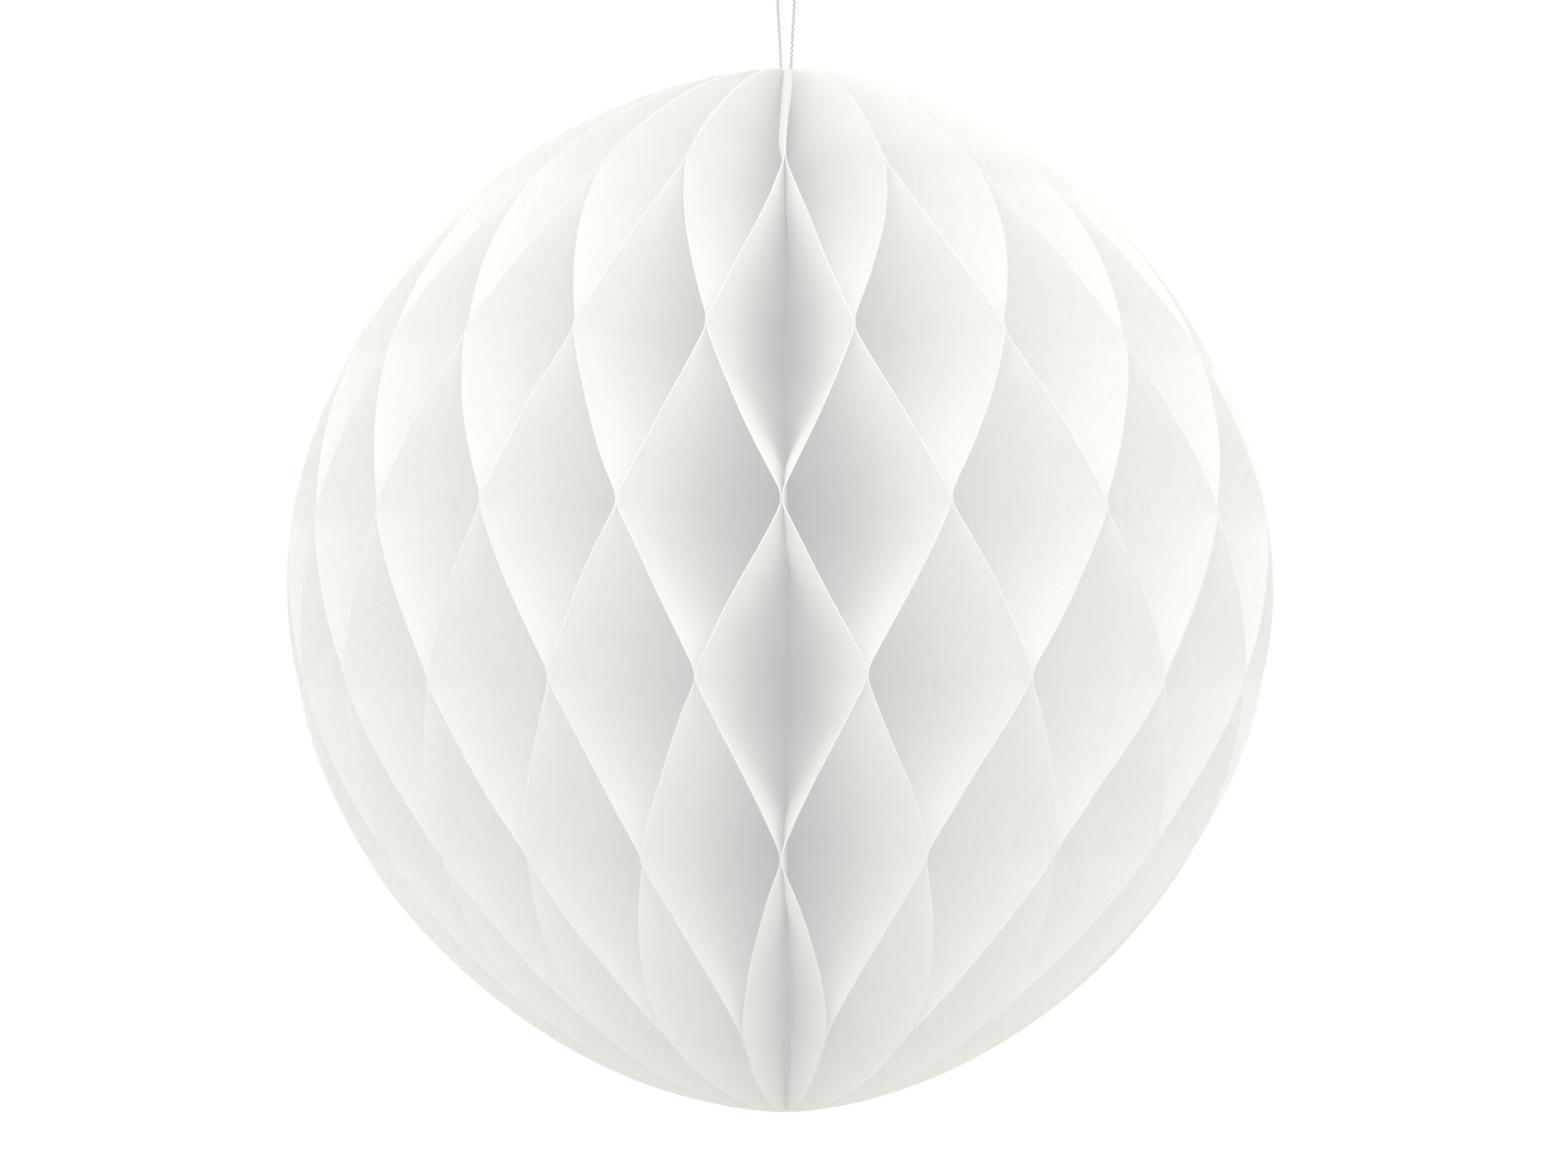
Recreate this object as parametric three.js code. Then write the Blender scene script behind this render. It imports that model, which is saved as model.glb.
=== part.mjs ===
// Honeycomb paper ball on a hanging cord, in millimetres, +Z up.
// Forty half-disc paper leaves stand round one upright axis with their straight edges inwards. Each leaf is
// glued to its two neighbours along short strips at alternate heights, which opens diamond cells.
// The front of the ball faces -Y. The origin is the top of the cord loop, where the ball hangs.
import * as THREE from 'three';

// Paper leaves, each cut from a disc along a straight line that runs beside the disc's middle
const leafCount = 40;
const leafRadius = 50;
const spineInset = 3.1;
const leafThickness = 0.1;
const leafTipWidth = 0.4;

// Glue strips between neighbouring leaves. The rows are spread about a height just below the middle.
const stripPitch = 16.2;
const stripHeight = 2;
const stripShift = -1.65;
const glueGap = 0.06;

// How the opened fan stands, as shares. It is tighter and reaches further on its left than on its right,
// opening draws the round edges towards mid height, and the spine edges keep some room between them.
const fanUnevenness = 0.166;
const reachUnevenness = 0.012;
const edgeDraw = 0.062;
const spineRoom = 1.1;

// Hanging cord
const cordDiameter = 0.33;
const cordSides = 8;
const cordSteps = 80;

// Mesh fineness of a leaf, in stations between two glue strips and from the last strip to the pole
const wallStations = 2;
const poleStations = 4;

// Colours
const paperColour = 0xf5f4ee;
const cordColour = 0xe9e9e6;

// Sizes that follow from those above
const wedgeAngle = 2 * Math.PI / leafCount;
const narrowestWedge = wedgeAngle * (1 - fanUnevenness);
const coreRadius = spineRoom * (leafThickness + glueGap) / narrowestWedge;
const equatorReach = leafRadius - spineInset;
const spineHalf = Math.sqrt(leafRadius ** 2 - (spineInset + coreRadius + leafTipWidth) ** 2);
const stripRows = Math.floor(2 * spineHalf / stripPitch);
const pairOffset = (glueGap + leafThickness) / 2;

// The right half of the cord loop, as distance from the axis and height over the pole, from its end in the
// spine up to the top of the loop. The left half mirrors it.
const cordRoute = [
  [0.45, -14],
  [0.45, -10],
  [0.45, -6],
  [0.45, -2],
  [0.49, 0.6],
  [0.66, 4],
  [0.87, 8],
  [1.08, 12],
  [1.29, 16],
  [1.47, 19.5],
  [1.53, 21.6],
  [1.42, 23],
  [1.08, 24.1],
  [0.57, 24.8],
];
const loopTop = 25;

// Height of a glue strip on the spine, counted from the top row
function stripCentre(row) {
  return stripShift + stripPitch * ((stripRows - 1) / 2 - row);
}

// The leaf's outline: how far its round edge reaches from the axis at a height on the spine
function edgeReach(height) {
  return Math.sqrt(leafRadius ** 2 - height ** 2) - spineInset;
}

// Direction of a place in the fan. Places 0, 1, 2 ... are the planes between neighbouring leaves.
function fanAngle(place) {
  const evenAngle = place * wedgeAngle;
  return evenAngle + fanUnevenness * (1 - Math.cos(evenAngle));
}

// A leaf that stands in a wider part of the fan reaches a little less far
function fanReach(place) {
  return 1 - reachUnevenness * Math.sin(place * wedgeAngle);
}

// One point of a leaf, from its place in the fan, distance from the axis, height and shift across the leaf
function fanPoint(place, distance, height, shift) {
  const angle = fanAngle(place);
  const x = distance * Math.sin(angle) + shift * Math.cos(angle);
  const y = -distance * Math.cos(angle) + shift * Math.sin(angle);
  return new THREE.Vector3(x, y, height);
}

// Heights of a leaf's stations from the bottom tip to the top tip, each with the share of the way from the
// leaf's left plane to its right plane. Even leaves meet their left neighbour at the top row.
function leafStations(leaf) {
  const stations = [];
  const sideOfRow = (row) => (row + leaf) % 2;
  const lastRow = stripRows - 1;
  const bottomStart = stripCentre(lastRow) - stripHeight / 2;
  const topStart = stripCentre(0) + stripHeight / 2;
  for (let step = 0; step < poleStations; step += 1) {
    const lean = THREE.MathUtils.lerp(-Math.asin(spineHalf / leafRadius), Math.asin(bottomStart / leafRadius),
      step / poleStations);
    stations.push({ height: leafRadius * Math.sin(lean), side: sideOfRow(lastRow) });
  }
  for (let row = lastRow; row >= 0; row -= 1) {
    const low = stripCentre(row) - stripHeight / 2;
    const high = stripCentre(row) + stripHeight / 2;
    stations.push({ height: low, side: sideOfRow(row) });
    stations.push({ height: high, side: sideOfRow(row) });
    if (row > 0) {
      const nextLow = stripCentre(row - 1) - stripHeight / 2;
      for (let step = 1; step <= wallStations; step += 1) {
        const share = step / (wallStations + 1);
        stations.push({
          height: THREE.MathUtils.lerp(high, nextLow, share),
          side: THREE.MathUtils.lerp(sideOfRow(row), sideOfRow(row - 1), share),
        });
      }
    }
  }
  for (let step = 1; step <= poleStations; step += 1) {
    const lean = THREE.MathUtils.lerp(Math.asin(topStart / leafRadius), Math.asin(spineHalf / leafRadius),
      step / poleStations);
    stations.push({ height: leafRadius * Math.sin(lean), side: sideOfRow(0) });
  }
  return stations;
}

// The four corners of a leaf's cross-section at one station: the spine edge and the round edge, on both faces
function leafSection(leaf, station) {
  const place = leaf + station.side;
  const middle = pairOffset * (1 - 2 * station.side);
  const reach = edgeReach(station.height);
  const edgeHeight = station.height * (1 - edgeDraw * (reach / equatorReach) ** 2);
  const edgeDistance = reach * fanReach(place);
  const left = middle - leafThickness / 2;
  const right = middle + leafThickness / 2;
  return [
    fanPoint(place, coreRadius, station.height, left),
    fanPoint(place, coreRadius, station.height, right),
    fanPoint(place, edgeDistance, edgeHeight, right),
    fanPoint(place, edgeDistance, edgeHeight, left),
  ];
}

// A closed solid through a row of four-cornered sections. The walls twist, so both faces of a wall are split
// along the same diagonal, from the spine edge of the lower section, to keep the paper's thickness even.
function loftGeometry(sections) {
  const corners = 4;
  const positions = [];
  const faces = [];
  for (const section of sections) {
    for (const point of section) {
      positions.push(point.x, point.y, point.z);
    }
  }
  for (let level = 0; level + 1 < sections.length; level += 1) {
    for (let corner = 0; corner < corners; corner += 1) {
      const next = (corner + 1) % corners;
      const low = level * corners;
      const high = low + corners;
      if (corner < corners / 2) {
        faces.push(low + corner, high + next, low + next);
        faces.push(low + corner, high + corner, high + next);
      } else {
        faces.push(low + corner, high + corner, low + next);
        faces.push(high + corner, high + next, low + next);
      }
    }
  }
  const top = (sections.length - 1) * corners;
  faces.push(0, 1, 2, 0, 2, 3);
  faces.push(top, top + 2, top + 1, top, top + 3, top + 2);
  const geometry = new THREE.BufferGeometry();
  geometry.setAttribute('position', new THREE.Float32BufferAttribute(positions, 3));
  geometry.setIndex(faces);
  geometry.computeVertexNormals();
  return geometry;
}

function makeLeaf(leaf) {
  const sections = leafStations(leaf).map((station) => leafSection(leaf, station));
  const paper = new THREE.MeshStandardMaterial({
    color: paperColour,
    roughness: 0.9,
    metalness: 0,
    side: THREE.DoubleSide,
  });
  const mesh = new THREE.Mesh(loftGeometry(sections), paper);
  mesh.name = `leaf_${String(leaf + 1).padStart(2, '0')}`;
  return mesh;
}

function makeCord() {
  const rightHalf = cordRoute.map(([x, rise]) => new THREE.Vector3(x, 0, spineHalf + rise));
  const leftHalf = rightHalf.map((point) => new THREE.Vector3(-point.x, 0, point.z)).reverse();
  const crown = new THREE.Vector3(0, 0, spineHalf + loopTop);
  const route = new THREE.CatmullRomCurve3([...rightHalf, crown, ...leftHalf]);
  const section = new THREE.Shape();
  for (let side = 0; side < cordSides; side += 1) {
    const angle = 2 * Math.PI * side / cordSides;
    const x = cordDiameter / 2 * Math.cos(angle);
    const y = cordDiameter / 2 * Math.sin(angle);
    if (side === 0) {
      section.moveTo(x, y);
    } else {
      section.lineTo(x, y);
    }
  }
  section.closePath();
  const geometry = new THREE.ExtrudeGeometry(section, {
    steps: cordSteps,
    extrudePath: route,
    bevelEnabled: false,
  });
  const twine = new THREE.MeshStandardMaterial({ color: cordColour, roughness: 0.85, metalness: 0 });
  const mesh = new THREE.Mesh(geometry, twine);
  mesh.name = 'hanging_cord';
  return mesh;
}

const part = new THREE.Group();
const ball = new THREE.Group();
ball.position.z = -(spineHalf + loopTop);
for (let leaf = 0; leaf < leafCount; leaf += 1) {
  ball.add(makeLeaf(leaf));
}
ball.add(makeCord());
part.add(ball);

export default part;
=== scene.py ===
# %% [markdown]
# A honeycomb paper ball
#
# The ball is forty half-disc leaves of thin white paper that stand round one upright axis. Each leaf is
# glued to its left neighbour and its right neighbour by turns, in short strips at even heights, so the
# leaves open into diamond cells like a honeycomb. It hangs on a thin twisted cord.
#
# The packed model gives the frame: every leaf and the cord are already in place there, in metres, with the
# top of the cord loop at the origin. The pieces made here are finer and stand where those solids are.

# %% Load the packed frame
import math

import bmesh
import bpy
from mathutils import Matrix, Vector


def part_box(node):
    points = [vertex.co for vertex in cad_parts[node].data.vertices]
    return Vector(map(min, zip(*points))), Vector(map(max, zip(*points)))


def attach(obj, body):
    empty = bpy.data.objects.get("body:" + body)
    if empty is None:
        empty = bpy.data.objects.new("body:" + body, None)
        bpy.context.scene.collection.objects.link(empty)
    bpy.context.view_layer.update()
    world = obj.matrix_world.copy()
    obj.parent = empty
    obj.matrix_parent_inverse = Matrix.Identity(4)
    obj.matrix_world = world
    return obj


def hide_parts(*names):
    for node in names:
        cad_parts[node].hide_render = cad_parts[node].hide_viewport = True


MM = 0.001

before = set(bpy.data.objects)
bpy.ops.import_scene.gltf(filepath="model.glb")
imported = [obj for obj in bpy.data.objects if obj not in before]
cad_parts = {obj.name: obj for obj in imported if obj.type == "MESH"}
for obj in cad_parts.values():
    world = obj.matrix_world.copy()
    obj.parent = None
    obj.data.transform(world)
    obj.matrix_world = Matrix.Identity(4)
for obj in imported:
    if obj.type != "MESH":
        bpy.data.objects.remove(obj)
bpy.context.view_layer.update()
leaf_nodes = sorted(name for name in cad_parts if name.startswith("leaf_"))
leaf_low, leaf_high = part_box(leaf_nodes[0])
spine_half = (leaf_high.z - leaf_low.z) / 2
ball_centre = Vector((0, 0, (leaf_high.z + leaf_low.z) / 2))
print("leaves:", len(leaf_nodes), "half spine:", round(spine_half / MM, 2), "mm")

# %% [markdown]
# The camera
#
# The photograph looks at the ball from close by and from a little below its middle. A camera could be moved
# about until the picture looks right, but here the distance and the drop come from how much the near glue
# points spread against the far ones. A long lens then frames the ball so that the cord leaves at the top
# edge. The place of the ball beside the picture's centre is in pixels of the photograph.

# %% Camera
IMAGE_WIDTH = 2212
SENSOR_WIDTH = 36.0
LENS = 95.9
CAMERA_DISTANCE = 400 * MM
CAMERA_DROP = math.radians(2.2)
CAMERA_TURN = math.radians(0.46)
BALL_RIGHT_OF_CENTRE = 2.9
BALL_BELOW_CENTRE = 1.0
NEAREST_SEEN = 10 * MM
FARTHEST_SEEN = 20.0


def make_camera():
    data = bpy.data.cameras.new("photo_camera")
    data.sensor_width = SENSOR_WIDTH
    data.lens = LENS
    data.shift_x = -BALL_RIGHT_OF_CENTRE / IMAGE_WIDTH
    data.shift_y = BALL_BELOW_CENTRE / IMAGE_WIDTH
    data.clip_start = NEAREST_SEEN
    data.clip_end = FARTHEST_SEEN
    camera = bpy.data.objects.new("photo_camera", data)
    bpy.context.scene.collection.objects.link(camera)
    level = math.cos(CAMERA_DROP)
    back = Vector((
        math.sin(CAMERA_TURN) * level,
        -math.cos(CAMERA_TURN) * level,
        -math.sin(CAMERA_DROP),
    ))
    camera.location = ball_centre + back * CAMERA_DISTANCE
    camera.rotation_euler = (-back).to_track_quat("-Z", "Y").to_euler()
    bpy.context.scene.camera = camera
    return camera


photo_camera = make_camera()
print("camera at", [round(x, 4) for x in photo_camera.location])

# %% [markdown]
# Formulas as nodes
#
# Both the cord and the leaves follow a rule, so Geometry Nodes make them. A tree of many Math nodes is hard
# to write one node at a time. This small helper lets a socket take part in ordinary Python arithmetic: each
# operation adds one Math node to the tree and gives back its output.

# %% A socket that can be used in arithmetic
class Formula:
    def __init__(self, tree, socket):
        self.tree = tree
        self.socket = socket

    def math(self, operation, *others):
        node = self.tree.nodes.new("ShaderNodeMath")
        node.operation = operation
        for slot, value in zip(node.inputs, (self, *others)):
            if isinstance(value, Formula):
                self.tree.links.new(value.socket, slot)
            else:
                slot.default_value = value
        return Formula(self.tree, node.outputs[0])

    def __add__(self, other):
        return self.math("ADD", other)

    def __sub__(self, other):
        return self.math("SUBTRACT", other)

    def __mul__(self, other):
        return self.math("MULTIPLY", other)

    def __truediv__(self, other):
        return self.math("DIVIDE", other)

    def less_from(self, whole):
        return self * -1.0 + whole

    def sin(self):
        return self.math("SINE")

    def cos(self):
        return self.math("COSINE")

    def root(self):
        return self.math("SQRT")

    def between(self, low, high):
        return self.math("MAXIMUM", low).math("MINIMUM", high)

    def last_part(self, steepness):
        """Nothing until near 1, and then a steep rise to 1."""
        return (self * steepness - (steepness - 1)).between(0.0, 1.0)


print("a formula can:", [name for name in vars(Formula) if not name.startswith("_")])

# %% [markdown]
# Trees with named sizes
#
# A tree is easier to follow when its sizes have names, as on a drawing. These helpers open a tree with one
# named input for each size, add nodes to it, close it, and run it on an object. The modifier could stay on
# the piece, but a plain mesh is the same in every program, so the result is kept as a mesh and the modifier
# is removed.

# %% Tree helpers
def new_tree(name, sizes):
    """A geometry tree with one named number input for each size, and its inputs as formulas."""
    tree = bpy.data.node_groups.new(name, "GeometryNodeTree")
    tree.interface.new_socket("Geometry", in_out="INPUT", socket_type="NodeSocketGeometry")
    for size in sizes:
        tree.interface.new_socket(size, in_out="INPUT", socket_type="NodeSocketFloat")
    tree.interface.new_socket("Material", in_out="INPUT", socket_type="NodeSocketMaterial")
    tree.interface.new_socket("Geometry", in_out="OUTPUT", socket_type="NodeSocketGeometry")
    group_input = tree.nodes.new("NodeGroupInput")
    given = {size: Formula(tree, group_input.outputs[size]) for size in sizes}
    return tree, group_input, given


def add_node(tree, kind, links=(), **values):
    """Adds a node, sets its plain inputs by name, and links sockets or formulas to the inputs in links."""
    node = tree.nodes.new(kind)
    for name, value in values.items():
        node.inputs[name.replace("_", " ")].default_value = value
    for name, source in dict(links).items():
        socket = source.socket if isinstance(source, Formula) else source
        tree.links.new(socket, node.inputs[name])
    return node


def split_position(tree):
    """The place of each point as a node with X, Y and Z."""
    place = tree.nodes.new("GeometryNodeInputPosition")
    return add_node(tree, "ShaderNodeSeparateXYZ", {"Vector": place.outputs["Position"]})


def close_tree(tree, group_input, geometry):
    """Ends a tree in Realize Instances and Set Material."""
    real = add_node(tree, "GeometryNodeRealizeInstances", {"Geometry": geometry})
    dressed = add_node(
        tree,
        "GeometryNodeSetMaterial",
        {"Geometry": real.outputs["Geometry"], "Material": group_input.outputs["Material"]},
    )
    group_output = tree.nodes.new("NodeGroupOutput")
    tree.links.new(dressed.outputs["Geometry"], group_output.inputs["Geometry"])


def run_tree(maker, tree, values):
    """Runs a tree on an object and gives the result as a plain mesh. The modifier is removed again."""
    modifier = maker.modifiers.new("maker", "NODES")
    modifier.node_group = tree
    for item in tree.interface.items_tree:
        if item.in_out == "INPUT" and item.name in values:
            modifier[item.identifier] = values[item.name]
    graph = bpy.context.evaluated_depsgraph_get()
    mesh = bpy.data.meshes.new_from_object(maker.evaluated_get(graph))
    maker.modifiers.remove(modifier)
    return mesh


print("tree helpers ready")

# %% [markdown]
# Helpers for finishes
#
# The thread and the paper both change a little in tone from place to place, and both have a second tone:
# painted shade in the groove between two plies, and on the glue a lighter tone that is partly the glued
# paper's own and partly painted light. Each finish could be wired up on its own, but these two steps are
# the same, so they are written once.

# %% Finish helpers
def new_finish(name):
    """An empty material and its tree."""
    material = bpy.data.materials.new(name)
    material.use_nodes = True
    material.node_tree.nodes.clear()
    return material, material.node_tree


def tone_ramp(tree, amount, tones):
    """A colour that follows an amount through two tones, given as pairs of place and colour."""
    ramp = tree.nodes.new("ShaderNodeValToRGB")
    for stop, (place, colour) in zip(ramp.color_ramp.elements, tones):
        stop.position = place
        stop.color = colour
    tree.links.new(amount, ramp.inputs["Fac"])
    return ramp.outputs["Color"]


def tone_over(tree, amount, under, over):
    """A colour that goes from a linked tone to a fixed one as the amount grows."""
    mix = tree.nodes.new("ShaderNodeMix")
    mix.data_type = "RGBA"
    mix.inputs["B"].default_value = over
    tree.links.new(amount, mix.inputs["Factor"])
    tree.links.new(under, mix.inputs["A"])
    return mix.outputs["Result"]


def show_surface(tree, surface):
    output = tree.nodes.new("ShaderNodeOutputMaterial")
    tree.links.new(surface, output.inputs["Surface"])


print("finish helpers ready")

# %% [markdown]
# Finish of the cord
#
# The cord is white spun thread in three plies. Thread isn't smooth: fine fibres run along the plies and
# catch the light, and little light gets into the grooves between the plies. So a fine noise gives small
# changes of tone and a light bump, and a number that the cord's tree stores on the mesh paints shade into
# the grooves: a dark colour there stands in for the light that doesn't reach them.

# %% Cord finish
CORD_TONES = [(0.3, (0.70, 0.71, 0.73, 1)), (0.62, (0.90, 0.91, 0.93, 1))]
# The groove colour is painted shade: it stands in for the light that doesn't reach between the plies.
PAINTED_GROOVE_SHADE = (0.16, 0.16, 0.165, 1)
GROOVE_SHADE_MASK = "groove"
FIBRE_FINENESS = 14000.0
FIBRE_DEPTH = 0.02 * MM


def make_cord_finish():
    material, tree = new_finish("white_twisted_thread")
    place = tree.nodes.new("ShaderNodeTexCoord")
    fibre = add_node(
        tree, "ShaderNodeTexNoise", {"Vector": place.outputs["Object"]},
        Scale=FIBRE_FINENESS, Detail=3.0, Roughness=0.6,
    )
    tone = tone_ramp(tree, fibre.outputs["Fac"], CORD_TONES)
    # Painted shade: the grooves between the plies get a dark colour, for the light that doesn't reach them.
    groove_shade_amount = tree.nodes.new("ShaderNodeAttribute")
    groove_shade_amount.attribute_name = GROOVE_SHADE_MASK
    colour = tone_over(tree, groove_shade_amount.outputs["Fac"], tone, PAINTED_GROOVE_SHADE)
    bump = add_node(
        tree, "ShaderNodeBump", {"Height": fibre.outputs["Fac"]}, Strength=0.5, Distance=FIBRE_DEPTH,
    )
    thread = add_node(
        tree, "ShaderNodeBsdfPrincipled", {"Base Color": colour, "Normal": bump.outputs["Normal"]},
        Roughness=0.85, Specular_IOR_Level=0.25,
    )
    show_surface(tree, thread.outputs["BSDF"])
    return material


cord_finish = make_cord_finish()
print("finish:", cord_finish.name)

# %% [markdown]
# The route of the cord
#
# The cord comes out of the hollow middle of the ball, runs up as two strands that spread a little, and
# closes in a loop just above the photograph. Its route could be drawn in the viewport, but a short list of
# points is easier to check. The right half is written down as distances from the axis and heights over the
# pole, in millimetres, and the left half mirrors it, so the two strands are alike.

# %% Cord route
CORD_DIAMETER = 0.33 * MM
ROUTE_STEPS = 12
CORD_ROUTE = [
    (0.45, -14), (0.45, -10), (0.45, -6), (0.45, -2), (0.49, 0.6), (0.66, 4), (0.87, 8), (1.08, 12),
    (1.29, 16), (1.47, 19.5), (1.53, 21.6), (1.42, 23), (1.08, 24.1), (0.57, 24.8),
]
pole = leaf_high.z
right_half = [Vector((x * MM, 0, pole + rise * MM)) for x, rise in CORD_ROUTE]
left_half = [Vector((-point.x, 0, point.z)) for point in reversed(right_half)]
cord_points = [*right_half, Vector((0, 0, 0)), *left_half]


def make_route(points):
    curve = bpy.data.curves.new("cord_route", "CURVE")
    curve.dimensions = "3D"
    curve.resolution_u = ROUTE_STEPS
    spline = curve.splines.new("BEZIER")
    spline.bezier_points.add(len(points) - 1)
    for knot, point in zip(spline.bezier_points, points):
        knot.co = point
        knot.handle_left_type = "AUTO"
        knot.handle_right_type = "AUTO"
    route = bpy.data.objects.new("cord_route", curve)
    bpy.context.scene.collection.objects.link(route)
    return route


cord_route = make_route(cord_points)
graph = bpy.context.evaluated_depsgraph_get()
route_line = bpy.data.meshes.new_from_object(cord_route.evaluated_get(graph))

# %% [markdown]
# The twist of the cord
#
# The cord could be a plain round tube, but its three plies show as slanted marks against the white. Three
# tubes could be wound round each other, but they would cut into one another where they touch. So one
# section, the outline of three touching circles, runs along the route and is turned as it goes. How far
# each point of the section lies from the middle of its ply is stored on the mesh, for the painted shade in
# the grooves.

# %% Tree of the twisted cord
PLIES = 3
SECTION_POINTS = 30
GROOVE_STEEPNESS = 2.5
CORD_SIZES = ["Cord Diameter", "Twist Length", "Step"]


def make_cord_section(tree, diameter):
    """The outline of three touching circles, with the grooves marked for the painted shade."""
    ply_angle = 2 * math.pi / PLIES
    lobe = 1 / math.sin(math.pi / PLIES)
    circle = add_node(tree, "GeometryNodeCurvePrimitiveCircle", Resolution=SECTION_POINTS, Radius=1.0)
    spot = split_position(tree)
    turn = Formula(tree, spot.outputs["Y"]).math("ARCTAN2", Formula(tree, spot.outputs["X"]))
    from_ply = (turn + math.pi).math("MODULO", ply_angle) - ply_angle / 2
    ply_radius = diameter / (2 * (1 + lobe))
    sideways = from_ply.sin() * lobe
    rim = from_ply.cos() * lobe + (sideways * sideways).less_from(1.0).between(0.0, 1.0).root()
    reach = rim * ply_radius
    outline = add_node(
        tree, "ShaderNodeCombineXYZ", {"X": turn.cos() * reach, "Y": turn.sin() * reach},
    )
    off_ply = from_ply.math("ABSOLUTE") / (ply_angle / 2)
    # Stores where the painted groove shade goes: nothing on a ply, one in the middle of a groove.
    marked = add_node(
        tree, "GeometryNodeStoreNamedAttribute",
        {"Geometry": circle.outputs["Curve"], "Value": off_ply.last_part(GROOVE_STEEPNESS)},
        Name=GROOVE_SHADE_MASK,
    )
    section = add_node(
        tree, "GeometryNodeSetPosition",
        {"Geometry": marked.outputs["Geometry"], "Position": outline.outputs["Vector"]},
    )
    return section.outputs["Geometry"]


def make_cord_tree():
    tree, group_input, given = new_tree("twisted_cord", CORD_SIZES)
    section = make_cord_section(tree, given["Cord Diameter"])
    stepped = tree.nodes.new("GeometryNodeResampleCurve")
    stepped.mode = "LENGTH"
    tree.links.new(group_input.outputs["Geometry"], stepped.inputs["Curve"])
    tree.links.new(given["Step"].socket, stepped.inputs["Length"])
    along = Formula(tree, tree.nodes.new("GeometryNodeSplineParameter").outputs["Length"])
    tilt = along / given["Twist Length"] * (2 * math.pi)
    twisted = add_node(
        tree, "GeometryNodeSetCurveTilt", {"Curve": stepped.outputs["Curve"], "Tilt": tilt},
    )
    swept = add_node(
        tree, "GeometryNodeCurveToMesh",
        {"Curve": twisted.outputs["Curve"], "Profile Curve": section},
        Fill_Caps=True,
    )
    smooth = add_node(tree, "GeometryNodeSetShadeSmooth", {"Geometry": swept.outputs["Mesh"]})
    close_tree(tree, group_input, smooth.outputs["Geometry"])
    return tree


cord_tree = make_cord_tree()
print("cord tree:", len(cord_tree.nodes), "nodes")

# %% [markdown]
# The hanging cord
#
# The tree runs on the route and gives one closed mesh. A swept mesh can come out with its faces turned
# inwards, so its faces are turned outwards here.

# %% Cord
TWIST_LENGTH = 1.55 * MM
CORD_STEP = 0.12 * MM
SAME_PLACE = 1e-7


def point_faces_outwards(mesh):
    """Merges doubled points of a closed mesh and turns all of its faces outwards."""
    shape = bmesh.new()
    shape.from_mesh(mesh)
    bmesh.ops.remove_doubles(shape, verts=shape.verts, dist=SAME_PLACE)
    bmesh.ops.recalc_face_normals(shape, faces=shape.faces)
    shape.to_mesh(mesh)
    shape.free()


def make_cord():
    mesh = run_tree(cord_route, cord_tree, {
        "Cord Diameter": CORD_DIAMETER,
        "Twist Length": TWIST_LENGTH,
        "Step": CORD_STEP,
        "Material": cord_finish,
    })
    point_faces_outwards(mesh)
    cord = bpy.data.objects.new("twisted_cord", mesh)
    bpy.context.scene.collection.objects.link(cord)
    bpy.data.objects.remove(cord_route)
    return cord


twisted_cord = make_cord()
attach(twisted_cord, "root")
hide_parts("hanging_cord")
print("cord faces:", len(twisted_cord.data.polygons))

# %% [markdown]
# The rule of a leaf
#
# A leaf is a half disc. Along its height it swings from the plane it shares with its left neighbour to the
# plane it shares with its right neighbour and back, once for every two glue strips. At a strip it lies flat
# against its neighbour. Past the last strips it stays beside its partner up to the pole.
#
# Forty leaves could be shaped by hand, but they all follow this one rule, so a tree of nodes keeps them
# alike. One flat grid can follow all of it: one direction of the grid is the height on the spine, the other
# goes from the spine to the round edge. The next cells write the rule down step by step, and then the tree
# puts it together.

# %% Inputs of the leaf tree
LEAF_SIZES = [
    "Leaf", "Leaf Count", "Disc Radius", "Spine Inset", "Spine Half", "Core Radius", "Centre Height",
    "Cord End", "Cord Ease", "Cord Room", "Strip Pitch", "Strip Height", "Strip Shift", "Strip Rows",
    "Corner Softness", "Inner Ramp", "Inner Curve", "Pair Offset", "Fan Unevenness", "Reach Unevenness",
    "Edge Draw", "Sway", "Edge Lift", "Wall Wave", "Pole Sway", "Pole Parting", "Cap Twist", "Cap Belly",
    "Spine Bend", "Glue Fade", "Seed",
]
POINTS_ALONG = 201
POINTS_ACROSS = 18
print("leaf inputs:", len(LEAF_SIZES), "points of a leaf:", POINTS_ALONG * POINTS_ACROSS)

# %% [markdown]
# Outline and glue rows
#
# Each leaf is cut from a disc along a straight line beside the disc's middle, so its round edge is an arc.
# The grid could have equal steps of height, but then its faces would be long and thin near the poles. Equal
# steps of angle along the arc keep them even. A height is then counted in glue rows, from the top row down.

# %% Outline and glue rows
def leaf_outline(given, upward):
    """Height on the spine, and how far the round edge reaches at that height."""
    lean = upward * (given["Spine Half"] / given["Disc Radius"]).math("ARCSINE")
    height = lean.sin() * given["Disc Radius"]
    reach = lean.cos() * given["Disc Radius"] - given["Spine Inset"]
    return height, reach


def glue_rows(given, height):
    """A height counted in glue rows from the top row, and the number of the last row."""
    last_row = given["Strip Rows"] - 1.0
    top_strip = given["Strip Shift"] + given["Strip Pitch"] * last_row / 2.0
    row = (top_strip - height) / given["Strip Pitch"]
    return row, last_row


print("outline of a leaf ready")

# %% [markdown]
# The hollow along the spine
#
# The inner edges of the leaves stand close round the axis and leave a thin hollow. One radius for all of
# them would leave wide slits where the fan is wide, and a light line would show through them. So the edges
# go further in there and stand equally close all round. The two ends of the cord hang in the upper part of
# the hollow, one at each side, and the leaves beside them stand back to leave them room.

# %% Hollow along the spine
CORD_NARROWNESS = 4.0


def spine_edge(given, height, fan_sin, wedge_width):
    """How far the inner edge of a leaf stands from the axis."""
    beside_cord = ((height - given["Cord End"]) / given["Cord Ease"] + 1.0).between(0.0, 1.0)
    room = fan_sin.math("POWER", CORD_NARROWNESS) * beside_cord * given["Cord Room"]
    return given["Core Radius"] / wedge_width + room


print("hollow along the spine ready")

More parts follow.
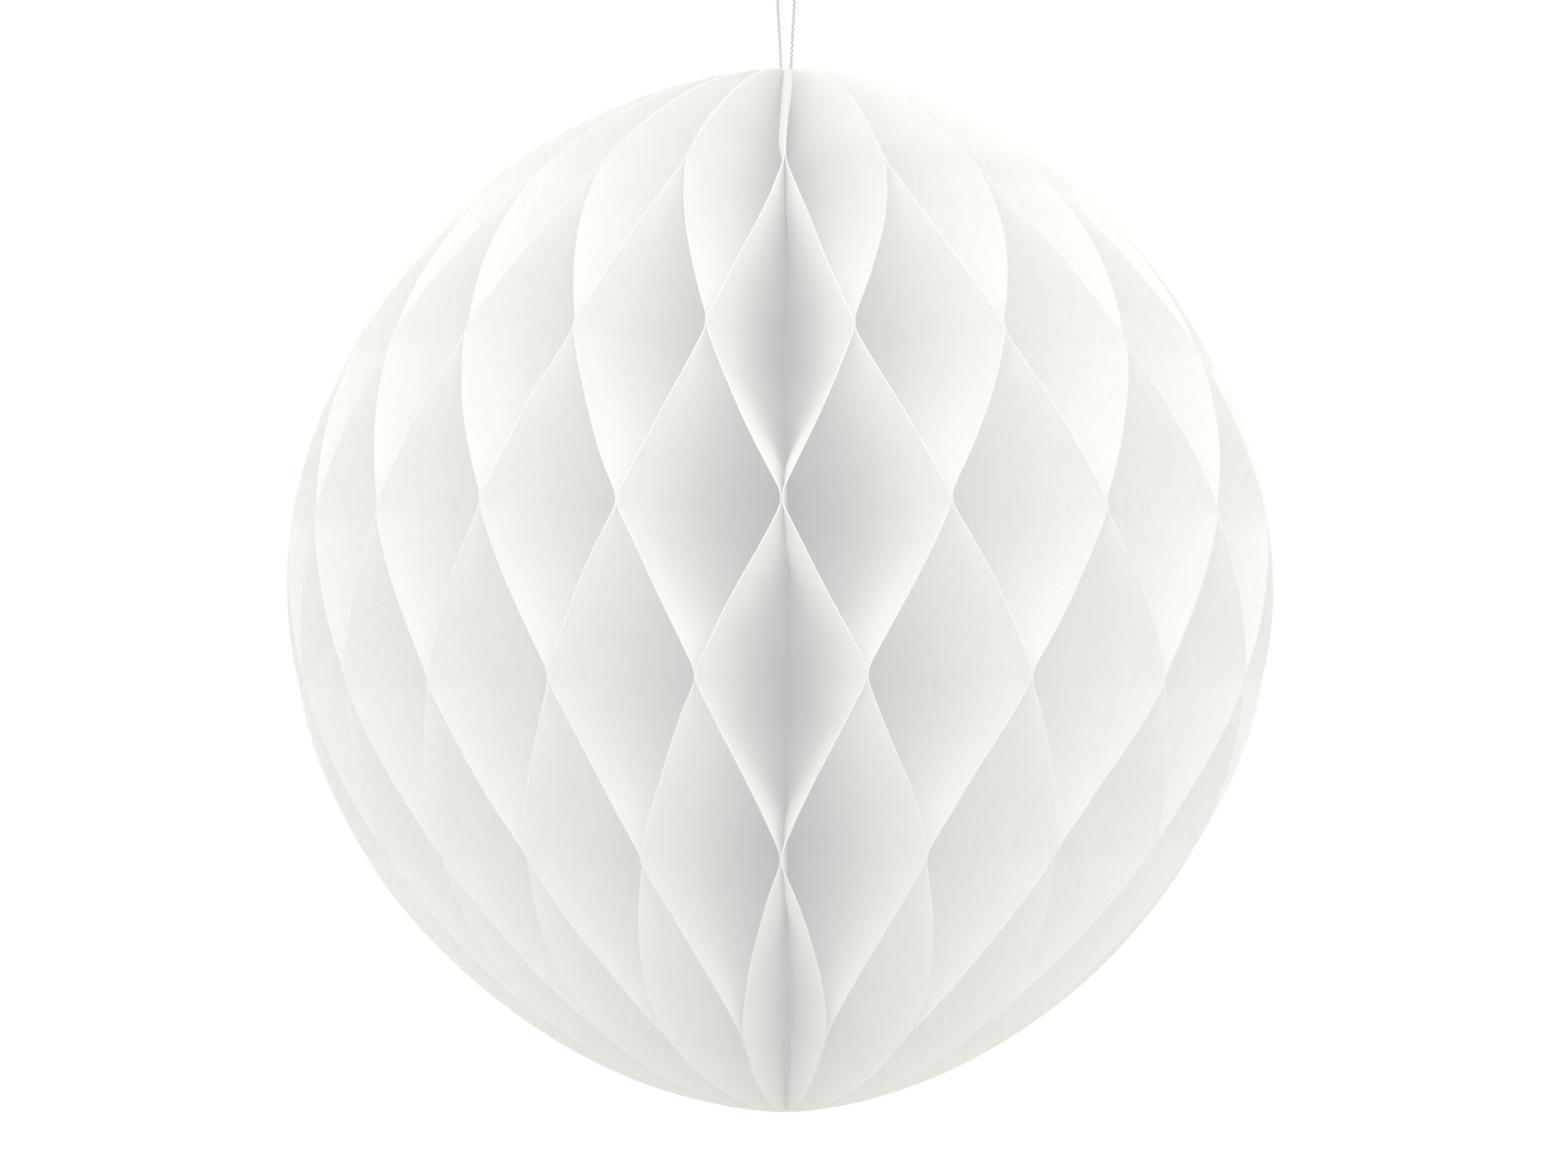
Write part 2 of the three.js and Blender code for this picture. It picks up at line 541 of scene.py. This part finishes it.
# %% [markdown]
# The swing
#
# Between two glue rows the outer edge of a leaf runs almost straight from one shared plane to the other.
# Deeper in, two glued leaves stay together for longer before they part, which gives each cell its rounded
# hollow. So there are two ramps, a full one for the edge and a shorter, softer one for the inside, and the
# leaf goes over from one to the other on the way out.

# %% Swing
INNER_SOFTNESS = 3.0


def soft_limit(value, softness):
    """Keeps a value between 0 and 1, with soft corners."""
    return value.math("SMOOTH_MAX", 0.0, softness).math("SMOOTH_MIN", 1.0, softness)


def leaf_swing(given, on_row, outward):
    """Share of the way from the plane of one glue row to the plane of the next."""
    flat_part = given["Strip Height"] / given["Strip Pitch"] / 2.0
    ramp = (on_row.math("PINGPONG", 1.0) - flat_part) / (flat_part * 2.0).less_from(1.0)
    inner_ramp = (ramp - 0.5) / given["Inner Ramp"] + 0.5
    softness = given["Corner Softness"]
    edge_swing = soft_limit(ramp, softness)
    inner_swing = soft_limit(inner_ramp, softness * INNER_SOFTNESS)
    return inner_swing + (edge_swing - inner_swing) * outward.math("POWER", given["Inner Curve"])


print("swing of a leaf ready")

# %% [markdown]
# Uneven planes
#
# The leaves of a real ball don't stand quite evenly. A random number for each point would tear the paper,
# and one for each leaf would pull glued leaves apart. Slow noise that depends only on the place in the fan
# moves both leaves of a pair alike. Each noise has its change from row to row, its fineness and its own
# step from the seed, so the ball is the same every time. At the top the pairs also lean over a little, more
# and more towards the pole.

# %% Slow noise and turned planes
SWAY_NOISE = (0.35, 2.2, 0.0)
POLE_NOISE = (0.2, 4.0, 3.0)
LIFT_NOISE = (0.3, 2.6, 7.0)
LEAN_GROWTH = 2.7


def slow_noise(tree, place, fineness, seed):
    """Smooth noise from -1 to 1 at a place, as a formula."""
    spot = add_node(tree, "ShaderNodeCombineXYZ", dict(zip("XYZ", place)))
    noise = tree.nodes.new("ShaderNodeTexNoise")
    noise.noise_dimensions = "4D"
    noise.inputs["Scale"].default_value = fineness
    noise.inputs["Detail"].default_value = 1.0
    tree.links.new(spot.outputs["Vector"], noise.inputs["Vector"])
    tree.links.new(seed.socket, noise.inputs["W"])
    return Formula(tree, noise.outputs["Fac"]) * 2.0 - 1.0


def fan_noise(tree, given, fan, row, kind):
    """Slow noise at a place in the fan, the same for both leaves of a pair."""
    per_row, fineness, seed_step = kind
    return slow_noise(tree, (*fan, row * per_row), fineness, given["Seed"] + seed_step)


def plane_turn(tree, given, fan, row, beyond_top, beyond):
    """How far a shared plane turns at the round edge, out of its even place."""
    sway = fan_noise(tree, given, fan, row, SWAY_NOISE) * given["Sway"]
    pole_sway = fan_noise(tree, given, fan, row, POLE_NOISE) * given["Pole Sway"] * beyond
    cap_twist = beyond_top * beyond_top * LEAN_GROWTH * given["Cap Twist"]
    return sway + pole_sway + cap_twist


print("slow noise ready")

# %% [markdown]
# Bends of one leaf
#
# Each wall also bends a little on its own, but only where it is free: the bends fade out at the glue strips
# and at the spine. Towards a pole a slit opens between two partners, and on the top cap the leaves have a
# slight belly. The spine isn't quite straight between its ends either. Cloth simulation could bend the
# sheets too, but forty glued leaves would take it very long.

# %% Bends
WALL_FINENESS = 3.2
WALL_SEED_STEP = 11.0
RIPPLE_FINENESS = 9.0
RIPPLE_SEED_STEP = 13.0
RIPPLE_SIZE = 0.7
RIPPLE_MIDDLE = 0.8
BELLY_ONSET = 6.0
SPINE_FINENESS = 3.5
SPINE_SWING = 2.0
SPINE_SEED_STEPS = (17.0, 19.0)
LEAF_STEP = 5.3


def hump(share):
    """Nothing at 0 and 1, and one halfway."""
    return share * share.less_from(1.0) * 4.0


def own_number(given):
    """A number that differs from leaf to leaf, for noise of its own."""
    return given["Leaf"] * LEAF_STEP + given["Seed"]


def wall_wave(tree, given, swing, outward, across, along):
    """Bends of this wall alone."""
    place = (across, along, own_number(given))
    bend = slow_noise(tree, place, WALL_FINENESS, given["Seed"] + WALL_SEED_STEP)
    return bend * given["Wall Wave"] * hump(swing) * outward


def partner_offset(tree, given, outward, even_angle, along, beyond):
    """How far the middle of this sheet lies from the shared plane."""
    place = (even_angle, along, own_number(given))
    noise = slow_noise(tree, place, RIPPLE_FINENESS, given["Seed"] + RIPPLE_SEED_STEP)
    ripple = noise.math("MULTIPLY_ADD", RIPPLE_SIZE, RIPPLE_MIDDLE)
    return given["Pair Offset"] + beyond * given["Pole Parting"] * outward * ripple


def cap_belly(given, outward, beyond_top, full_share):
    """The belly of a leaf on the top cap."""
    on_cap = (beyond_top * BELLY_ONSET).between(0.0, 1.0) * full_share
    return hump(outward) * on_cap * given["Cap Belly"]


def spine_bend(tree, given, outward, upward):
    """Two formulas for how far the spine bends across and back."""
    inward = outward.less_from(1.0)
    bending = inward * inward * (upward * upward).less_from(1.0) * given["Spine Bend"]
    seed = given["Seed"]
    return [
        slow_noise(tree, (seed, seed, upward), SPINE_FINENESS, seed + step) * SPINE_SWING * bending
        for step in SPINE_SEED_STEPS
    ]


print("bends ready")

# %% [markdown]
# The tree of one leaf
#
# The tree moves every point of the flat grid to its place on the leaf. A point has a place in the fan, a
# distance from the axis, a height, and a shift across the sheet. On the spine the leaves stand in even
# order, and they swing only off it. The tree also stores how near each point is to glue, one on a strip and
# nothing away from it.

# %% Tree of one leaf
GLUED = "glued"


def glue_nearness(given, on_row):
    """One on a glue strip, and falling to nothing away from it."""
    off_strip = on_row.math("PINGPONG", 0.5) * given["Strip Pitch"] - given["Strip Height"] / 2.0
    return (off_strip / given["Glue Fade"]).less_from(1.0).between(0.0, 1.0)


def make_leaf_tree():
    tree, group_input, given = new_tree("paper_leaf", LEAF_SIZES)
    grid = add_node(
        tree, "GeometryNodeMeshGrid",
        Size_X=1.0, Size_Y=1.0, Vertices_X=POINTS_ACROSS, Vertices_Y=POINTS_ALONG,
    )
    spot = split_position(tree)
    outward = Formula(tree, spot.outputs["X"]) + 0.5
    upward = Formula(tree, spot.outputs["Y"]) * 2.0
    off_spine = (outward * (POINTS_ACROSS - 1.0)).between(0.0, 1.0)

    # Height, reach and glue rows
    height, reach = leaf_outline(given, upward)
    fullest = given["Disc Radius"] - given["Spine Inset"]
    row, last_row = glue_rows(given, height)
    on_row = row.between(0.0, last_row)
    beyond_top = (row * -1.0).between(0.0, 1.0)
    beyond = beyond_top + (row - last_row).between(0.0, 1.0)

    # Place in the fan
    swing = leaf_swing(given, on_row, outward)
    odd = given["Leaf"].math("MODULO", 2.0)
    side = swing * (odd * 2.0).less_from(1.0) + odd
    facing = (side * 2.0).less_from(1.0) * off_spine
    place = (side - 0.5) * off_spine + 0.5
    even_angle = (given["Leaf"] + place) / given["Leaf Count"] * (2 * math.pi)
    fan_cos = even_angle.cos()
    fan_sin = even_angle.sin()
    fan = (fan_cos, fan_sin)
    turned = plane_turn(tree, given, fan, row, beyond_top, beyond) * outward
    angle = even_angle + fan_cos.less_from(1.0) * given["Fan Unevenness"] + turned

    # Straight lines from the spine edge to the round edge
    edge_distance = reach * (fan_sin * given["Reach Unevenness"]).less_from(1.0)
    wedge_width = fan_sin * given["Fan Unevenness"] + 1.0
    full_share = reach / fullest * wedge_width
    lift = fan_noise(tree, given, fan, row, LIFT_NOISE) * given["Edge Lift"]
    edge_height = height * (full_share * full_share * given["Edge Draw"]).less_from(1.0) + lift * full_share
    core = spine_edge(given, height, fan_sin, wedge_width)
    distance = core + outward * (edge_distance - core)
    level = height + outward * (edge_height - height)

    # Shift across the sheet, and the bend of the spine
    along = level / fullest
    offset = partner_offset(tree, given, outward, even_angle, along, beyond)
    wave = wall_wave(tree, given, swing, outward, distance / fullest, along)
    shift = offset * facing + wave - cap_belly(given, outward, beyond_top, full_share)
    bend_across, bend_back = spine_bend(tree, given, outward, upward)

    x = distance * angle.sin() + shift * angle.cos() + bend_across
    y = shift * angle.sin() - distance * angle.cos() + bend_back
    point = add_node(tree, "ShaderNodeCombineXYZ", {"X": x, "Y": y, "Z": level + given["Centre Height"]})
    placed = add_node(
        tree, "GeometryNodeSetPosition",
        {"Geometry": grid.outputs["Mesh"], "Position": point.outputs["Vector"]},
    )
    smooth = add_node(tree, "GeometryNodeSetShadeSmooth", {"Geometry": placed.outputs["Geometry"]})
    marked = add_node(
        tree, "GeometryNodeStoreNamedAttribute",
        {"Geometry": smooth.outputs["Geometry"], "Value": glue_nearness(given, on_row)},
        Name=GLUED,
    )
    close_tree(tree, group_input, marked.outputs["Geometry"])
    return tree


leaf_tree = make_leaf_tree()
print("leaf tree:", len(leaf_tree.nodes), "nodes")

# %% [markdown]
# Finish of the paper
#
# The paper is matt, white and thin. Light that falls on one face comes out of the other, which is why the
# deep cells stay pale. So the surface mixes a plain matt shader with a translucent one. Paper is also a
# felt of short fibres, and here most of them lie along the spine. A picture of paper could show them, but
# noise has no seams: one fine noise, stretched upwards, gives faint streaks of tone and a light bump.
#
# On a glue strip the sheet is filled with glue. It lets no light through there, and towards the strip less
# and
# less. It is also a little lighter there: partly the glued paper's own tone, and partly painted light that
# makes up for the light the strip doesn't get through the sheet. The finish reads how near the glue is from
# the number on the mesh.

# %% Paper finish
PAPER_TONES = [(0.36, (0.95, 0.95, 0.948, 1)), (0.62, (0.98, 0.98, 0.978, 1))]
# The glue tone is partly painted light: lighter than the glued paper alone would be.
GLUE_TONE_AND_PAINTED_LIGHT = (0.998, 0.998, 0.996, 1)
STRIP_STEEPNESS = 6.0
LIGHT_THROUGH = 0.16
LIGHT_THROUGH_GLUE = 0.0
FELT_FINENESS = 3000.0
FELT_DEPTH = 0.03 * MM
FIBRE_STRETCH = (1, 1, 0.1)


def make_paper_finish():
    material, tree = new_finish("thin_white_paper")
    place = tree.nodes.new("ShaderNodeTexCoord")
    lay = add_node(tree, "ShaderNodeMapping", {"Vector": place.outputs["Object"]}, Scale=FIBRE_STRETCH)
    felt = add_node(
        tree, "ShaderNodeTexNoise", {"Vector": lay.outputs["Vector"]},
        Scale=FELT_FINENESS, Detail=2.0, Roughness=0.7,
    )
    tone = tone_ramp(tree, felt.outputs["Fac"], PAPER_TONES)
    glue = tree.nodes.new("ShaderNodeAttribute")
    glue.attribute_name = GLUED
    # Painted light, in part: the strip gets a lighter tone that also makes up for the light it doesn't get
    # through the sheet.
    glue_tone_and_light = Formula(tree, glue.outputs["Fac"]).last_part(STRIP_STEEPNESS)
    colour = tone_over(tree, glue_tone_and_light.socket, tone, GLUE_TONE_AND_PAINTED_LIGHT)
    through = add_node(
        tree, "ShaderNodeMapRange", {"Value": glue.outputs["Fac"]},
        To_Min=LIGHT_THROUGH, To_Max=LIGHT_THROUGH_GLUE,
    )
    bump = add_node(
        tree, "ShaderNodeBump", {"Height": felt.outputs["Fac"]}, Strength=0.5, Distance=FELT_DEPTH,
    )
    matt = add_node(
        tree, "ShaderNodeBsdfPrincipled", {"Base Color": colour, "Normal": bump.outputs["Normal"]},
        Roughness=0.9, Specular_IOR_Level=0.2,
    )
    glow = add_node(
        tree, "ShaderNodeBsdfTranslucent", {"Color": colour, "Normal": bump.outputs["Normal"]},
    )
    sheet = add_node(tree, "ShaderNodeMixShader", {"Fac": through.outputs["Result"]})
    tree.links.new(matt.outputs["BSDF"], sheet.inputs[1])
    tree.links.new(glow.outputs["BSDF"], sheet.inputs[2])
    show_surface(tree, sheet.outputs["Shader"])
    return material


paper_finish = make_paper_finish()
print("finish:", paper_finish.name)

# %% [markdown]
# The leaves
#
# Every leaf runs the same tree with its own number. One leaf could be made and copied round the axis, but
# the fan opens unevenly, so each has a shape of its own. The tree gives the middle of the sheet, and
# Solidify then gives the paper its thickness on both sides. The rim of the sheet is marked sharp, so that
# the flat faces aren't shaded as if the cut edge were round.

# %% Sizes of a leaf
LEAF_THICKNESS = 0.1 * MM
GLUE_FILM = 0.006 * MM
LEAF_VALUES = {
    "Leaf Count": float(len(leaf_nodes)),
    "Disc Radius": 50 * MM,
    "Spine Inset": 3.1 * MM,
    "Spine Half": spine_half,
    "Core Radius": 0.72 * MM,
    "Centre Height": ball_centre.z,
    "Strip Pitch": 16.2 * MM,
    "Strip Height": 1.2 * MM,
    "Strip Shift": -1.65 * MM,
    "Strip Rows": 6.0,
    "Corner Softness": 0.05,
    "Inner Ramp": 0.58,
    "Inner Curve": 4.0,
    "Pair Offset": (LEAF_THICKNESS + GLUE_FILM) / 2,
    "Fan Unevenness": 0.166,
    "Reach Unevenness": 0.012,
    "Edge Draw": 0.062,
    "Sway": math.radians(0.9),
    "Edge Lift": 0.6 * MM,
    "Wall Wave": 0.35 * MM,
    "Pole Sway": math.radians(4),
    "Pole Parting": 0.15 * MM,
    "Cap Twist": math.radians(3),
    "Cap Belly": 1.0 * MM,
    "Spine Bend": 0.5 * MM,
    "Cord End": spine_half + CORD_ROUTE[0][1] * MM,
    "Cord Ease": 3 * MM,
    "Cord Room": 0.35 * MM,
    "Glue Fade": 1 * MM,
    "Seed": 8.0,
    "Material": paper_finish,
}
own_inputs = sorted(set(LEAF_SIZES) - set(LEAF_VALUES))
print("sizes:", len(LEAF_VALUES), "and set for each leaf alone:", own_inputs)

# %% Leaves
SHARP_CORNER = math.radians(40)


def make_leaf(number, node):
    name = node.replace("leaf", "paper_leaf")
    maker = bpy.data.objects.new(name, bpy.data.meshes.new(name))
    bpy.context.scene.collection.objects.link(maker)
    middle = run_tree(maker, leaf_tree, {**LEAF_VALUES, "Leaf": float(number)})
    maker.data = middle
    skin = maker.modifiers.new("paper thickness", "SOLIDIFY")
    skin.thickness = LEAF_THICKNESS
    skin.offset = 0.0
    skin.use_even_offset = True
    graph = bpy.context.evaluated_depsgraph_get()
    sheet = bpy.data.meshes.new_from_object(maker.evaluated_get(graph))
    maker.modifiers.remove(skin)
    sheet.set_sharp_from_angle(angle=SHARP_CORNER)
    maker.data = sheet
    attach(maker, "root")
    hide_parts(node)
    return maker


paper_leaves = [make_leaf(number, node) for number, node in enumerate(leaf_nodes)]
leaf_faces = sum(len(leaf.data.polygons) for leaf in paper_leaves)
print("leaves:", len(paper_leaves), "with", leaf_faces, "faces")

# %% [markdown]
# Floor
#
# The ball hangs in front of plain white. A pale round floor lies some way below it and takes its soft
# shadow. It could be a large plane with a curved rise at the back, but a round floor suits views from every
# side. It fades out towards its rim, so no horizon line shows, and it is clear from below, so a low camera
# sees the ball.

# %% Floor
FLOOR_DROP = 110 * MM
FLOOR_RADIUS = 0.9
FLOOR_CLEAR = 0.35
FLOOR_SIDES = 96
FLOOR_COLOUR = (0.70, 0.70, 0.70, 1)


def make_floor_finish():
    material, tree = new_finish("pale_floor")
    place = tree.nodes.new("ShaderNodeTexCoord")
    spot = add_node(tree, "ShaderNodeSeparateXYZ", {"Vector": place.outputs["Object"]})
    x = Formula(tree, spot.outputs["X"])
    y = Formula(tree, spot.outputs["Y"])
    fade = add_node(
        tree, "ShaderNodeMapRange", {"Value": (x * x + y * y).root()},
        From_Min=FLOOR_CLEAR, From_Max=FLOOR_RADIUS,
    )
    fade.interpolation_type = "SMOOTHSTEP"
    from_below = Formula(tree, tree.nodes.new("ShaderNodeNewGeometry").outputs["Backfacing"])
    clearness = from_below.math("MAXIMUM", Formula(tree, fade.outputs["Result"]))
    pale = add_node(tree, "ShaderNodeBsdfDiffuse", Color=FLOOR_COLOUR)
    clear = tree.nodes.new("ShaderNodeBsdfTransparent")
    mix = add_node(tree, "ShaderNodeMixShader", {"Fac": clearness})
    tree.links.new(pale.outputs["BSDF"], mix.inputs[1])
    tree.links.new(clear.outputs["BSDF"], mix.inputs[2])
    show_surface(tree, mix.outputs["Shader"])
    return material


def make_floor():
    shape = bmesh.new()
    bmesh.ops.create_circle(shape, cap_ends=True, segments=FLOOR_SIDES, radius=FLOOR_RADIUS)
    bmesh.ops.translate(shape, verts=shape.verts, vec=(0, 0, leaf_low.z - FLOOR_DROP))
    mesh = bpy.data.meshes.new("floor")
    shape.to_mesh(mesh)
    shape.free()
    mesh.materials.append(make_floor_finish())
    floor = bpy.data.objects.new("floor", mesh)
    bpy.context.scene.collection.objects.link(floor)
    return floor


floor = make_floor()
print("floor at", round(floor.data.vertices[0].co.z, 4), "facing", round(floor.data.polygons[0].normal.z))

# %% [markdown]
# Light of the room
#
# The photograph has soft light from all round. It is strongest at eye level and a little stronger in front,
# and weaker from the sides, from straight above and from below. A ring of lamps could give that, but each
# lamp would cast a shadow of its own. So the world gives it: a ramp over the height of each direction, and
# a number for where it lies round the ball. What the camera itself sees of the world is plain white.

# %% World
ROOM_LIGHT = [
    (0.0, (0.20, 0.20, 0.185, 1)),
    (0.44, (0.92, 0.917, 0.851, 1)),
    (0.56, (1.37, 1.366, 1.267, 1)),
    (1.0, (0.58, 0.578, 0.537, 1)),
]
FRONT_SHARE = 0.18
SIDE_SHARE = 0.22


def make_room_light(tree):
    """The light that falls on the ball, by its direction."""
    place = tree.nodes.new("ShaderNodeTexCoord")
    spot = add_node(tree, "ShaderNodeSeparateXYZ", {"Vector": place.outputs["Generated"]})
    rise = Formula(tree, spot.outputs["Z"]) * 0.5 + 0.5
    sky = tree.nodes.new("ShaderNodeValToRGB")
    sky.color_ramp.elements.remove(sky.color_ramp.elements[1])
    for position, colour in ROOM_LIGHT:
        stop = sky.color_ramp.elements.new(position)
        stop.color = colour
    sky.color_ramp.elements.remove(sky.color_ramp.elements[0])
    tree.links.new(rise.socket, sky.inputs["Fac"])
    sideways = Formula(tree, spot.outputs["X"])
    backward = Formula(tree, spot.outputs["Y"])
    level = (sideways * sideways * SIDE_SHARE + backward * FRONT_SHARE).less_from(1.0)
    room = add_node(tree, "ShaderNodeBackground", {"Color": sky.outputs["Color"], "Strength": level})
    return room.outputs["Background"]


def make_world():
    world = bpy.data.worlds.new("soft_white_room")
    bpy.context.scene.world = world
    world.use_nodes = True
    tree = world.node_tree
    tree.nodes.clear()
    white = add_node(tree, "ShaderNodeBackground", Color=(1, 1, 1, 1), Strength=1.0)
    path = tree.nodes.new("ShaderNodeLightPath")
    seen = Formula(tree, path.outputs["Is Camera Ray"])
    seen = seen + Formula(tree, path.outputs["Is Glossy Ray"])
    seen = seen + Formula(tree, path.outputs["Is Transmission Ray"])
    mix = add_node(tree, "ShaderNodeMixShader", {"Fac": seen.between(0.0, 1.0)})
    tree.links.new(make_room_light(tree), mix.inputs[1])
    tree.links.new(white.outputs["Background"], mix.inputs[2])
    output = tree.nodes.new("ShaderNodeOutputWorld")
    tree.links.new(mix.outputs["Shader"], output.inputs["Surface"])


make_world()
print("world:", bpy.context.scene.world.name)

# %% [markdown]
# Light deep in the cells
#
# In the real ball, light bounces dozens of times between the white leaves and goes through them before it
# reaches the middle, so even the deepest corners are pale grey. Tracing all of those bounces would take
# very long. Cycles can add a little even light at each bounce instead, wherever the next wall isn't very
# close.

# %% Light of the many bounces
DEEP_LIGHT = 0.071
CLOSE_WALL = 0.04 * MM
BOUNCES = 8


def add_deep_light():
    scene = bpy.context.scene
    scene.cycles.max_bounces = BOUNCES
    scene.cycles.diffuse_bounces = BOUNCES
    scene.cycles.use_fast_gi = True
    scene.cycles.fast_gi_method = "ADD"
    scene.world.light_settings.ao_factor = DEEP_LIGHT
    scene.world.light_settings.distance = CLOSE_WALL


add_deep_light()
print("deep light:", DEEP_LIGHT)

# %% [markdown]
# The lamp
#
# One large soft lamp adds a little light from above, which gives the ball its shadow on the floor. A sun
# would give a shadow too, but with a hard edge that doesn't suit the soft room.

# %% Lamp
LAMP_PLACE = Vector((0.15, -0.25, 0.9))
LAMP_SIZE = 0.8
LAMP_POWER = 0.9


def make_lamp():
    data = bpy.data.lights.new("overhead_lamp", "AREA")
    data.shape = "DISK"
    data.size = LAMP_SIZE
    data.energy = LAMP_POWER
    lamp = bpy.data.objects.new("overhead_lamp", data)
    bpy.context.scene.collection.objects.link(lamp)
    lamp.location = ball_centre + LAMP_PLACE
    lamp.rotation_euler = (-LAMP_PLACE).to_track_quat("-Z", "Y").to_euler()
    return lamp


overhead_lamp = make_lamp()
print("lamp:", round(overhead_lamp.data.energy, 2), "W")

# %% [markdown]
# Last settings
#
# Standard view keeps each colour as it is written.

# %% Finish
bpy.context.scene.view_settings.view_transform = "Standard"
